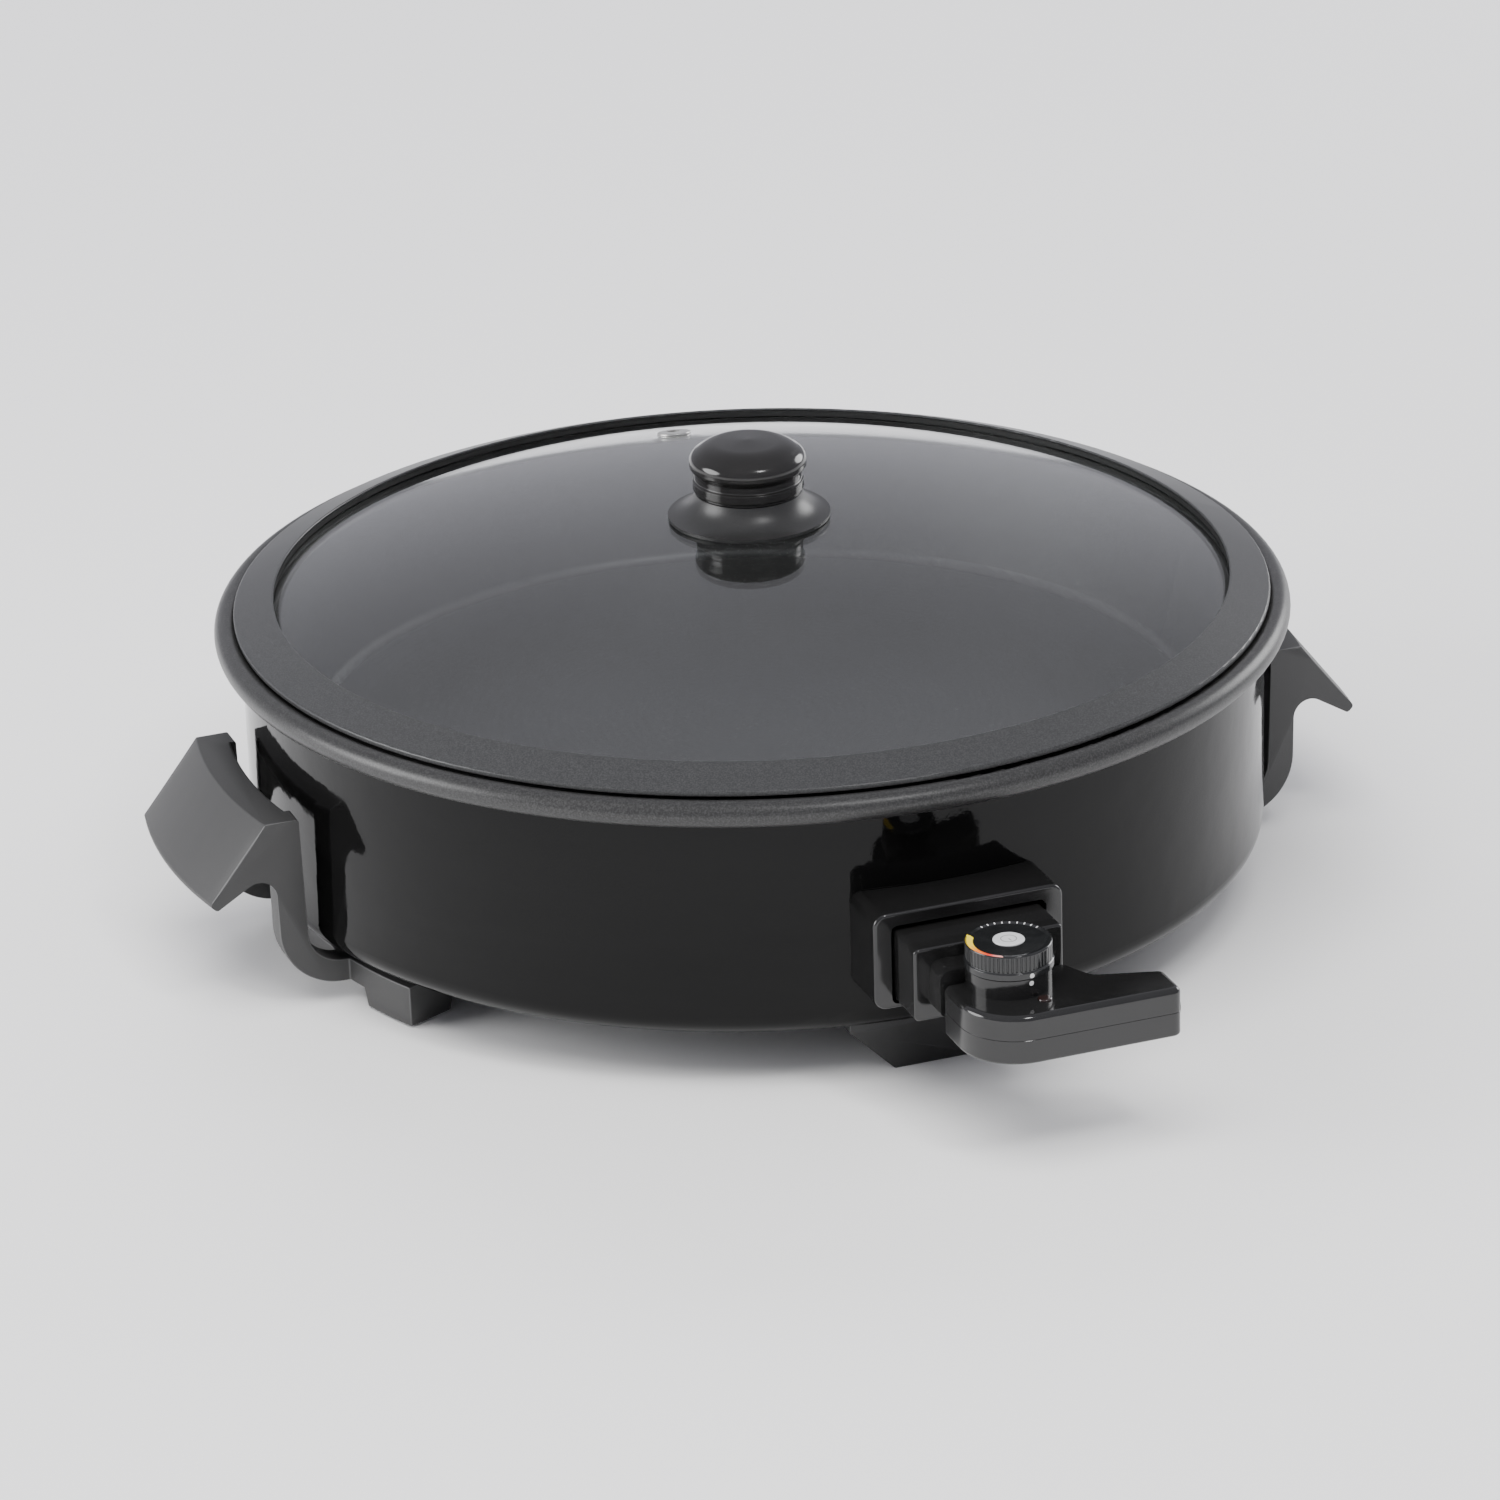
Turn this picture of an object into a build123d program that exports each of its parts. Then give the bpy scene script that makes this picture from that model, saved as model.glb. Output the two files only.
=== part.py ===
from build123d import *
import os
from math import cos, radians, sin, sqrt

os.makedirs("parts", exist_ok=True)

# Round electric griddle pan with a glass lid and a plug-in thermostat. Millimetres.
# +Z is up and Z = 0 is the table. The Z axis is the pan's axis. The handles stand at
# +X and -X, and the thermostat plugs in at -Y.

# Pan and shell
rim_radius = 206.0          # outermost circle of the pan's rolled rim
rim_height = 113.3          # height of that circle above the table
bead_radius = 5.0           # section of the rolled rim
shell_radius = 196.0
shell_floor = 21.7          # underside of the shell, above the table
shell_corner = 9.0
shell_sheet = 0.9
shell_lip = 7.2             # width of the inturned lip under the pan's flange
slot_ring, slot_count = 95.0, 12    # air slots in the shell's floor
slot_length, slot_width = 26.0, 5.0
socket_cutout = 27.0        # height of the shell's opening for the socket
flange_under = 112.0        # plane where the pan hangs on the shell
seat_height = 114.5         # ledge that the lid stands on
mouth_radius = 182.0
step_radius = 191.3         # the lid's foot fits inside this step
step_top = seat_height + 1.8
pan_floor_radius = 170.5
pan_floor = 66.5            # cooking surface
pan_sheet = 3.0
pan_under = pan_floor - pan_sheet
pan_base_radius = 166.5     # the flat floor, inside the fillet at the wall's foot
pan_wall_sheet = 2.5
pan_wall_top = 108.0        # the rim starts here, below its bead
pan_draft = (mouth_radius - pan_floor_radius) / (seat_height - pan_floor)

# Lid
glass_top = 150.5
glass_dome_radius = 611.4   # outside of the dome
glass_thickness = 4.0
glass_radius = 187.0
dome_centre = glass_top - glass_dome_radius
band_inner = (182.8, 126.3)
band_outer = (198.3, 120.6)
band_sheet = 1.2
lid_gap = 0.3               # the lid's foot above its ledge
vent_radius = 132.5
vent_angle = 82.7
vent_hole, knob_hole = 5.0, 4.2
knob_skirt_radius = 31.0
knob_skirt_low = glass_top - 0.5
knob_seat = glass_top + 2.5  # top of the skirt's web, which the knob stands on
knob_neck_radius = 20.5
knob_bore = 18.3            # the skirt's bore around the knob's foot
knob_ring_radius = 21.3     # raised ring around the neck
knob_ring_low, knob_ring_high = 161.2, 165.4
knob_head_radius = 22.4
knob_head_low, knob_head_high = 170.3, 174.6
knob_shoulder_radius = 15.5
knob_top = 180.4
knob_split = 160.0          # plane between the knob and its skirt
knob_web, knob_flare_radius = 22.0, 24.4
gasket_radius, gasket_hole, gasket_sheet = 12.0, 3.0, 1.0
washer_radius, washer_hole, washer_sheet = 9.0, 2.7, 0.9
screw_head, screw_head_height = 4.8, 3.2
screw_cross_length, screw_cross_width = 5.4, 1.1
insert_radius = 4.0

# Heat shield, stud and nut
shield_top, shield_sheet = 40.0, 0.8
shield_bore, shield_crown, shield_foot, shield_edge = 4.0, 140.0, 151.0, 158.0
stud_end = 16.6
nut_height, nut_radius = 4.0, 4.6

# Heating element and socket
element_end = 178.0         # the element's ends, from the pan's axis
element_radius = 3.7
element_ring = 120.0
element_height = pan_under - element_radius
terminal_x = 15.0
terminal_bend = 20.0
probe_height = 57.4
probe_radius = 3.2
socket_plate_back = 188.0
socket_plate_sheet = 2.0
bezel_front = 216.7
bezel_width = 73.0
bezel_low, bezel_high = 41.0, 78.3
bezel_depth = 27.0
bezel_screw_x = 33.2
bezel_screw_end = 205.0
bezel_screw_radius, bezel_screw_head = 1.45, 2.8
bezel_opening = 60.0
opening_low, opening_high = 42.8, 73.3

# Thermostat
plug_width = 57.2
plug_low, plug_high = 43.3, 71.3
plug_back, plug_front = 197.0, 235.0
sleeve_radius = 3.8
probe_tip, collar_length = 62.0, 3.5
case_low, case_high = 43.3, 61.8
case_split = 52.5
case_wall = 2.5
case_front = 283.0
case_left, case_right = -22.5, 54.0
case_shoulder, arm_start = 24.0, 30.0   # the case's right side, and where the arm begins
shoulder_back, arm_back = 258.5, 265.5
parting_chamfer = 0.12
case_pillar, cover_pillar = 3.4, 3.0
case_screw_radius, case_screw_head, case_screw_length = 1.25, 2.7, 13.0
case_cross_length, case_cross_width = 3.4, 0.8
gland_groove, gland_flange = 5.5, 5.7
lens_radius = 2.5
neck_half = 23.0
neck_low, neck_high = 49.0, 66.5
neck_front = 250.0
dial_y = -253.5
dial_radius = 16.0
dial_low, dial_high = 69.3, 78.8
boss_radius = 15.5
spindle_radius, spindle_bore = 3.0, 3.02
spindle_low, spindle_top = 60.2, 75.0
dial_ring_top = 71.7        # top of the smooth ring under the knurling
knurl_radius, knurl_groove, knurl_count = 15.5, 0.36, 60
cap_radius, cap_seat = 5.7, dial_high - 1.5
gland_y, gland_bore = -274.0, 3.3
lamp_spot = (6.0, -271.5)
case_screw_spots = [(-13.0, -271.0), (31.0, -271.0)]

# Handles and legs
grip_half = 46.0            # half the width of a grip
cheek = 10.0                # width of each of the two posts
grip_inner = 203.0
grip_ridge = 215.5
grip_tip = 238.0
grip_top = 76.8
grip_low = 48.0
post_outer = 207.5
post_inner = 196.2
run_low, run_high = 8.4, 17.3
run_inner, run_outer = 150.0, 187.0
foot_start, foot_end = 17.0, 25.5   # angles of a handle's feet from its centre line
foot_inner = 165.0
foot_low = 0.8
foot_taper = 7
handle_boss, handle_pocket = 7.0, 3.6   # boss radius and screw pocket depth
pad_radius, pad_height = 6.0, 3.0
pad_ring = 176.0
handle_screw_spots = [(163.0, -20.0), (163.0, 20.0), (-163.0, -20.0), (-163.0, 20.0)]
leg_face = 183.0
leg_depth = 23.0
leg_foot_half, leg_top_half = 16.4, 33.6
leg_pocket = 12.0
leg_screw_spots = [(0.0, -171.5), (0.0, 171.5)]

# Fasteners
m4_radius, m4_hole = 2.0, 2.1
m4_head_radius, m4_head_height = 3.9, 2.5
m4_end = 26.0
collar_radius, collar_top = 3.4, 25.5
m5_radius, m5_hole = 2.5, 2.55
m3_hole = 1.6
thread_fit = 0.03           # between a thread and its nut
fit = 0.05                  # between parts that sit in one another
head_clearance = 0.4        # around a screw head in its pocket


def outline(*corners):
    """A closed face in the current sketch from (x, y, corner radius); 0 is a sharp corner."""
    with BuildLine() as edge:
        FilletPolyline(
            [(x, y) for x, y, _ in corners], radius=[r for _, _, r in corners], close=True
        )
    make_face(edge.edges())


def radial_plane(angle):
    """The upright plane through the Z axis: its x is the radius at that angle, its y is up."""
    turn = radians(angle)
    return Plane((0, 0, 0), x_dir=(cos(turn), sin(turn), 0), z_dir=(sin(turn), -cos(turn), 0))


def wall_plane(distance):
    """The upright plane at y = -distance, looking in from the thermostat's side."""
    return Plane.XZ.offset(distance)


def wedge(start, end):
    """Keep only the part of the current sketch between two angles from the X axis."""
    reach = 300.0
    with BuildLine() as edge:
        Polyline(
            (0, 0),
            (reach * cos(radians(start)), reach * sin(radians(start))),
            (reach * cos(radians(end)), reach * sin(radians(end))),
            close=True,
        )
    make_face(edge.edges(), mode=Mode.INTERSECT)


def finish(piece, name):
    """Label a finished piece and write it as its own file."""
    piece.part.label = name
    export_step(piece.part, f"parts/{name}.step")


# --------------------------------------------------------------------------- pan and shell

# The non-stick pan is one deep pressing. It is kept as three solids that meet in circles:
# its flat floor, its drafted wall, and its rim, a stepped ledge for the lid and a rolled bead.
with BuildPart() as pan_base:
    with BuildSketch(Plane.XY.offset(pan_under)):
        Circle(pan_base_radius)
    extrude(amount=pan_sheet)
finish(pan_base, "pan_base")

bead_centre = rim_radius - bead_radius
under_radius = pan_floor_radius + pan_wall_sheet
for name, kept in (("pan_wall", Keep.BOTTOM), ("pan_rim", Keep.TOP)):
    with BuildPart() as pan_ring:
        with BuildSketch(Plane.XZ):
            outline(
                (pan_base_radius, pan_under, 0),
                (under_radius, pan_under, 8),
                (under_radius + pan_draft * (flange_under - pan_under), flange_under, 3),
                (bead_centre, flange_under, 0),
                (bead_centre, step_top, 0),
                (step_radius, step_top, 0.8),
                (step_radius, seat_height, 0.5),
                (mouth_radius, seat_height, 2),
                (pan_floor_radius, pan_floor, 4),
                (pan_base_radius, pan_floor, 0),
            )
            with Locations((bead_centre, rim_height)):
                Circle(bead_radius)
        revolve(axis=Axis.Z)
        split(bisect_by=Plane.XY.offset(pan_wall_top), keep=kept)
    finish(pan_ring, name)

# Deep-drawn outer shell: its inturned lip carries the pan's flange. It is open for the
# socket, and has tapped collars for the handle and leg screws.
with BuildPart() as outer_shell:
    inner = shell_radius - shell_sheet
    with BuildSketch(Plane.XZ):
        outline(
            (0, shell_floor, 0),
            (shell_radius, shell_floor, shell_corner),
            (shell_radius, flange_under, 1.8),
            (inner - shell_lip, flange_under, 0),
            (inner - shell_lip, flange_under - shell_sheet, 0),
            (inner, flange_under - shell_sheet, 0.9),
            (inner, shell_floor + shell_sheet, shell_corner - shell_sheet),
            (0, shell_floor + shell_sheet, 0),
        )
    revolve(axis=Axis.Z)
    with BuildSketch(Plane.XY.offset(shell_floor)):
        with Locations(*handle_screw_spots, *leg_screw_spots):
            Circle(collar_radius)
    extrude(amount=collar_top - shell_floor)
    with BuildSketch(Plane.XY.offset(shell_floor - 1)):
        with Locations(*handle_screw_spots, *leg_screw_spots):
            Circle(m4_hole)
        Circle(m5_hole)
        with PolarLocations(slot_ring, slot_count):
            SlotOverall(slot_length, slot_width, rotation=90)
    extrude(amount=collar_top - shell_floor + 2, mode=Mode.SUBTRACT)
    with BuildSketch(wall_plane(shell_radius + 4)):
        with Locations((0, probe_height)):
            Rectangle(bezel_opening, socket_cutout)
        with Locations((-bezel_screw_x, probe_height), (bezel_screw_x, probe_height)):
            Circle(m3_hole)
    extrude(amount=-20, mode=Mode.SUBTRACT)
finish(outer_shell, "outer_shell")

# Heat shield: a shallow inverted dish between the element and the shell's floor.
with BuildPart() as heat_shield:
    with BuildSketch(Plane.XZ):
        floor_top = shell_floor + shell_sheet
        outline(
            (shield_bore, shield_top, 0),
            (shield_crown, shield_top, 3),
            (shield_foot, floor_top + shield_sheet, 2),
            (shield_edge, floor_top + shield_sheet, 0),
            (shield_edge, floor_top, 0),
            (shield_foot - 0.6, floor_top, 2),
            (shield_crown - 0.6, shield_top - shield_sheet, 3),
            (shield_bore, shield_top - shield_sheet, 0),
        )
    revolve(axis=Axis.Z)
finish(heat_shield, "heat_shield")

# The pan is drawn down on the shell by one stud and nut at the centre.
with BuildPart() as pan_stud:
    with BuildSketch(Plane.XY.offset(pan_under)):
        Circle(m5_radius)
    extrude(amount=-(pan_under - stud_end))
    chamfer(pan_stud.faces().sort_by(Axis.Z)[0].edges(), 0.5)
finish(pan_stud, "pan_stud")

with BuildPart() as base_nut:
    with BuildSketch(Plane.XY.offset(shell_floor)):
        RegularPolygon(nut_radius, 6)
        Circle(m5_radius + thread_fit, mode=Mode.SUBTRACT)
    extrude(amount=-nut_height)
finish(base_nut, "base_nut")

# --------------------------------------------------------------------------- element and socket

# Tubular element: an open ring under the pan with two straight ends to the socket.
with BuildPart() as heating_element:
    bend_x = terminal_x + terminal_bend
    bend_y = -sqrt((element_ring + terminal_bend) ** 2 - bend_x**2)
    share = element_ring / (element_ring + terminal_bend)
    touch = (bend_x * share, bend_y * share)
    with BuildLine(Plane.XY.offset(element_height)) as element_path:
        Line((terminal_x, -element_end), (terminal_x, bend_y))
        RadiusArc((terminal_x, bend_y), touch, terminal_bend)
        ThreePointArc(touch, (element_ring, 0), (0, element_ring))
    with BuildSketch(Plane((terminal_x, -element_end, element_height), z_dir=(0, 1, 0))):
        Circle(element_radius)
    sweep(path=element_path.wires()[0])
    mirror(about=Plane.YZ)
finish(heating_element, "heating_element")

# Saddle clips hold the element up against the pan.
clip_sheet, clip_length, clip_half = 1.2, 28.0, 6.0
clip_bore = element_radius + 0.1
for number, angle in enumerate((0, 90, 180), 1):
    with BuildPart() as element_clip:
        with BuildSketch(radial_plane(angle)):
            with Locations((element_ring, pan_under - clip_sheet / 2)):
                Rectangle(clip_length, clip_sheet)
            with Locations((element_ring, element_height)):
                Circle(clip_bore + clip_sheet)
            with Locations((element_ring, pan_under - element_radius / 2)):
                Rectangle(2 * (clip_bore + clip_sheet), element_radius)
                Rectangle(2 * clip_bore, element_radius, mode=Mode.SUBTRACT)
            with Locations((element_ring, element_height)):
                Circle(clip_bore, mode=Mode.SUBTRACT)
            with Locations((element_ring, pan_under + element_radius)):
                Rectangle(clip_length, 2 * element_radius, mode=Mode.SUBTRACT)
        extrude(amount=clip_half, both=True)
    finish(element_clip, f"element_clip_{number}")

# Probe guide: a bored block under the pan that brings the probe against the metal.
guide_half, guide_low, guide_start, guide_length = 7.5, 52.0, 176.0, 118.0
with BuildPart() as probe_guide:
    with BuildSketch(wall_plane(guide_start)):
        outline(
            (-guide_half, pan_under, 0),
            (guide_half, pan_under, 0),
            (guide_half, guide_low, 3),
            (-guide_half, guide_low, 3),
        )
        with Locations((0, probe_height)):
            Circle(probe_radius + 0.1, mode=Mode.SUBTRACT)
    extrude(amount=-guide_length)
finish(probe_guide, "probe_guide")

# Socket plate behind the shell's opening, and what it carries.
plate_height, probe_opening = 31.0, 5.0
insulator_head, insulator_neck = 6.2, 4.6
head_depth, neck_depth = 2.5, 6.0
pin_radius, pin_start, pin_length = 2.4, element_end, 28.0
with BuildPart() as socket_plate:
    with BuildSketch(wall_plane(socket_plate_back)):
        with Locations((0, probe_height)):
            RectangleRounded(bezel_width, plate_height, 3)
            Circle(probe_opening, mode=Mode.SUBTRACT)
        with Locations((-terminal_x, element_height), (terminal_x, element_height)):
            Circle(insulator_neck + 0.1, mode=Mode.SUBTRACT)
        with Locations((-bezel_screw_x, probe_height), (bezel_screw_x, probe_height)):
            Circle(m3_hole, mode=Mode.SUBTRACT)
    extrude(amount=socket_plate_sheet)
finish(socket_plate, "socket_plate")

for side, x in (("left", -terminal_x), ("right", terminal_x)):
    with BuildPart() as terminal_insulator:
        with BuildSketch(wall_plane(socket_plate_back - head_depth)):
            with Locations((x, element_height)):
                Circle(insulator_head)
        extrude(amount=head_depth)
        with BuildSketch(wall_plane(socket_plate_back)):
            with Locations((x, element_height)):
                Circle(insulator_neck)
        extrude(amount=neck_depth)
        with BuildSketch(wall_plane(socket_plate_back - head_depth)):
            with Locations((x, element_height)):
                Circle(pin_radius + fit)
        extrude(amount=head_depth + neck_depth, mode=Mode.SUBTRACT)
    finish(terminal_insulator, f"terminal_insulator_{side}")

    with BuildPart() as terminal_pin:
        with BuildSketch(wall_plane(pin_start)):
            with Locations((x, element_height)):
                Circle(pin_radius)
        extrude(amount=pin_length)
        chamfer(terminal_pin.faces().sort_by(Axis.Y)[0].edges(), 0.8)
    finish(terminal_pin, f"terminal_pin_{side}")

# Earth clip: an angle on the plate whose blade goes into the plug's slot.
earth_low, earth_high, earth_length = 66.2, 70.5, 13.0
earth_sheet, earth_half = 0.8, 4.0
with BuildPart() as earth_clip:
    with BuildSketch(Plane.YZ):
        plate_front = -(socket_plate_back + socket_plate_sheet)
        outline(
            (plate_front, earth_low, 0),
            (plate_front - earth_length, earth_low, 0),
            (plate_front - earth_length, earth_low + earth_sheet, 0),
            (plate_front - earth_sheet, earth_low + earth_sheet, 0),
            (plate_front - earth_sheet, earth_high, 0),
            (plate_front, earth_high, 0),
        )
    extrude(amount=earth_half, both=True)
finish(earth_clip, "earth_clip")

# Bezel: a rounded frame around the socket, curved behind to sit on the shell.
with BuildPart() as socket_bezel:
    bezel_middle = (bezel_low + bezel_high) / 2
    with BuildSketch(wall_plane(bezel_front)):
        with Locations((0, bezel_middle)):
            RectangleRounded(bezel_width, bezel_high - bezel_low, 5)
    extrude(amount=-bezel_depth)
    fillet(socket_bezel.faces().sort_by(Axis.Y)[0].edges(), 1.2)
    with BuildSketch(wall_plane(bezel_front)):
        with Locations((0, (opening_low + opening_high) / 2)):
            RectangleRounded(bezel_opening, opening_high - opening_low, 2.5)
    extrude(amount=-bezel_depth, mode=Mode.SUBTRACT)
    with BuildSketch():
        Circle(shell_radius + fit)
    extrude(amount=2 * bezel_high, mode=Mode.SUBTRACT)
    with BuildSketch(wall_plane(bezel_screw_end + 1)):
        with Locations((-bezel_screw_x, probe_height), (bezel_screw_x, probe_height)):
            Circle(bezel_screw_radius + fit)
    extrude(amount=-bezel_depth, mode=Mode.SUBTRACT)
finish(socket_bezel, "socket_bezel")

for side, x in (("left", -bezel_screw_x), ("right", bezel_screw_x)):
    with BuildPart() as bezel_screw:
        with BuildSketch(wall_plane(socket_plate_back)):
            with Locations((x, probe_height)):
                Circle(bezel_screw_head)
        extrude(amount=-2)
        with BuildSketch(wall_plane(socket_plate_back)):
            with Locations((x, probe_height)):
                Circle(bezel_screw_radius)
        extrude(amount=bezel_screw_end - socket_plate_back)
    finish(bezel_screw, f"bezel_screw_{side}")

# --------------------------------------------------------------------------- handles and legs

# Handle: one moulding with a sloping grip whose edges run round with the pan, a post at
# each end, elbows that turn in under the shell, and a base with two feet.
with BuildPart() as handle_right:
    with BuildSketch(Plane.XZ):
        outline(
            (grip_inner, grip_top, 1.2),
            (grip_ridge, grip_top, 1.0),
            (grip_tip, grip_low, 1.6),
            (grip_tip - 2.6, grip_low - 2.6, 1.2),
            (grip_ridge - 3.5, grip_top - 6.5, 2),
            (grip_inner, grip_top - 6.5, 1.2),
        )
    revolve(axis=Axis.Z)
    with Locations((220, 0, 60)):
        Box(60, 2 * grip_half, 60, mode=Mode.INTERSECT)
    # the posts, with the elbow's two arcs about nearly the same centre
    ridge_end = sqrt(grip_ridge**2 - grip_half**2)
    tip_end = sqrt(grip_tip**2 - grip_half**2)
    with BuildSketch(wall_plane(grip_half)) as post_side:
        outline(
            (post_inner + 1.5, grip_top, 1.2),
            (ridge_end - 0.1, grip_top, 0),
            (tip_end - 0.1, grip_low, 1.2),
            (tip_end - 2.7, grip_low - 2.5, 1.2),
            (post_outer, grip_low + 11.5, 7),
            (post_outer, run_low, 24),
            (run_inner + 12, run_low, 0),
            (run_inner + 12, run_high, 0),
            (post_inner, run_high, 13),
        )
    extrude(amount=-cheek)
    with BuildSketch(wall_plane(-grip_half + cheek)):
        add(post_side.sketch_local)
    extrude(amount=-cheek)
    # the base under the shell, its feet and the two bosses that meet the shell
    with BuildSketch(Plane.XY.offset(run_low)):
        Circle(run_outer)
        Circle(run_inner, mode=Mode.SUBTRACT)
        wedge(-foot_end, foot_end)
    extrude(amount=run_high - run_low)
    for start, end in ((foot_start, foot_end), (-foot_end, -foot_start)):
        with BuildSketch(Plane.XY.offset(run_low)):
            Circle(run_outer)
            Circle(foot_inner, mode=Mode.SUBTRACT)
            wedge(start, end)
        extrude(amount=-(run_low - foot_low), taper=foot_taper)
    with BuildSketch(Plane.XY.offset(run_high)):
        with Locations(*handle_screw_spots[:2]):
            Circle(handle_boss)
    extrude(amount=shell_floor - run_high)
    with BuildSketch(Plane.XY.offset(run_low)):
        with Locations(*handle_screw_spots[:2]):
            Circle(m4_head_radius + head_clearance)
    extrude(amount=handle_pocket, mode=Mode.SUBTRACT)
    with BuildSketch(Plane.XY.offset(run_low)):
        with Locations(*handle_screw_spots[:2]):
            Circle(m4_hole)
    extrude(amount=shell_floor - run_low, mode=Mode.SUBTRACT)
    foot_middle = (foot_start + foot_end) / 2
    with BuildSketch(Plane.XY.offset(foot_low)):
        with PolarLocations(pad_ring, 2, start_angle=-foot_middle, angular_range=2 * foot_middle,
                            endpoint=True):
            Circle(pad_radius + fit)
    extrude(amount=pad_height - foot_low, mode=Mode.SUBTRACT)
finish(handle_right, "handle_right")

with BuildPart() as handle_left:
    mirror(handle_right.part, about=Plane.YZ)
finish(handle_left, "handle_left")

for number, angle in enumerate((-foot_middle, foot_middle, 180 - foot_middle,
                                180 + foot_middle), 1):
    with BuildPart() as foot_pad:
        with BuildSketch():
            with Locations((pad_ring * cos(radians(angle)), pad_ring * sin(radians(angle)))):
                Circle(pad_radius)
        extrude(amount=pad_height)
        chamfer(foot_pad.faces().sort_by(Axis.Z)[0].edges(), 0.5)
    finish(foot_pad, f"foot_pad_{number}")

# Two wedge-sided legs, one under the thermostat and one behind.
for name, y in (("leg_front", -leg_face), ("leg_rear", leg_face - leg_depth)):
    screw_spot = leg_screw_spots[0] if y < 0 else leg_screw_spots[1]
    with BuildPart() as leg:
        with BuildSketch(wall_plane(-y)):
            outline(
                (-leg_foot_half, 0, 1.5),
                (leg_foot_half, 0, 1.5),
                (leg_top_half, leg_top_half - leg_foot_half, 1.5),
                (leg_top_half, shell_floor, 0),
                (-leg_top_half, shell_floor, 0),
                (-leg_top_half, leg_top_half - leg_foot_half, 1.5),
            )
        extrude(amount=-leg_depth)
        with BuildSketch():
            with Locations(screw_spot):
                Circle(m4_head_radius + head_clearance)
        extrude(amount=leg_pocket, mode=Mode.SUBTRACT)
        with BuildSketch():
            with Locations(screw_spot):
                Circle(m4_hole)
        extrude(amount=shell_floor, mode=Mode.SUBTRACT)
    finish(leg, name)

# Screws that come up through the handles and legs into the shell's collars.
mounting_screws = [(f"handle_screw_{n}", spot, run_low + handle_pocket)
                   for n, spot in enumerate(handle_screw_spots, 1)]
mounting_screws += [(f"leg_screw_{n}", spot, leg_pocket)
                    for n, spot in enumerate(leg_screw_spots, 1)]
cross_length, cross_width, cross_depth = 5.0, 1.0, 1.3
for name, spot, seat in mounting_screws:
    with BuildPart() as mounting_screw:
        with BuildSketch(Plane.XY.offset(seat - m4_head_height)):
            with Locations(spot):
                Circle(m4_head_radius)
        extrude(amount=m4_head_height)
        with BuildSketch(Plane.XY.offset(seat)):
            with Locations(spot):
                Circle(m4_radius)
        extrude(amount=m4_end - seat)
        with BuildSketch(Plane.XY.offset(seat - m4_head_height)):
            with Locations(spot):
                Rectangle(cross_length, cross_width)
                Rectangle(cross_width, cross_length)
        extrude(amount=cross_depth, mode=Mode.SUBTRACT)
    finish(mounting_screw, name)

# --------------------------------------------------------------------------- lid

# Tempered glass dome of one radius, with a centre hole for the knob and one for the vent.
vent_spot = (vent_radius * cos(radians(vent_angle)), vent_radius * sin(radians(vent_angle)))
with BuildPart() as lid_glass:
    inner_radius = glass_dome_radius - glass_thickness
    outer_edge = dome_centre + sqrt(glass_dome_radius**2 - glass_radius**2)
    inner_edge = dome_centre + sqrt(inner_radius**2 - glass_radius**2)
    with BuildSketch(Plane.XZ):
        with BuildLine():
            RadiusArc((0, glass_top), (glass_radius, outer_edge), glass_dome_radius)
            Line((glass_radius, outer_edge), (glass_radius, inner_edge))
            RadiusArc((glass_radius, inner_edge), (0, glass_top - glass_thickness), -inner_radius)
            Line((0, glass_top - glass_thickness), (0, glass_top))
        make_face()
    revolve(axis=Axis.Z)
    with BuildSketch(Plane.XY.offset(glass_top)):
        Circle(knob_hole)
        with Locations(vent_spot):
            Circle(vent_hole)
    extrude(amount=inner_edge - glass_top, mode=Mode.SUBTRACT)
finish(lid_glass, "lid_glass")

# Lid rim: a sloping band with a hemmed edge, and a channel below it that holds the seal.
band_drop = (band_outer[1] - band_inner[1]) / (band_outer[0] - band_inner[0])
foot_base = seat_height + lid_gap


def band_under(radius):
    """Underside of the sloping band at a radius."""
    return band_inner[1] + band_drop * (radius - band_inner[0]) - band_sheet


channel_outer, channel_inner, channel_lip = 190.3, 189.1, 184.0
hem_inner, hem_low = band_outer[0] - 1.1, band_outer[1] - 2.0
with BuildPart() as lid_rim:
    with BuildSketch(Plane.XZ):
        outline(
            (*band_inner, 0.5),
            (*band_outer, 0.9),
            (band_outer[0], hem_low, 0.5),
            (hem_inner, hem_low, 0.4),
            (hem_inner, band_under(hem_inner), 0),
            (channel_outer, band_under(channel_outer), 0),
            (channel_outer, foot_base, 0.8),
            (channel_lip, foot_base, 0.4),
            (channel_lip, foot_base + band_sheet, 0.4),
            (channel_inner, foot_base + band_sheet, 0),
            (channel_inner, band_under(channel_inner), 0),
            (band_inner[0], band_under(band_inner[0]), 0.5),
        )
    revolve(axis=Axis.Z)
finish(lid_rim, "lid_rim")

# Silicone seal around the glass's edge, inside the channel.
with BuildPart() as lid_seal:
    seal_back = channel_inner - fit
    seal_low = foot_base + band_sheet + fit
    with BuildSketch(Plane.XZ):
        outline(
            (band_inner[0], band_under(band_inner[0]) - fit, 0),
            (seal_back, band_under(seal_back) - fit, 0),
            (seal_back, seal_low, 0),
            (channel_lip, seal_low, 0),
            (channel_lip, inner_edge + 0.85, 0),
            (glass_radius + 0.1, inner_edge - 0.15, 0),
            (glass_radius + 0.1, outer_edge + 0.1, 0),
            (band_inner[0], 122.9, 0),
        )
    revolve(axis=Axis.Z)
finish(lid_seal, "lid_seal")

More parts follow.
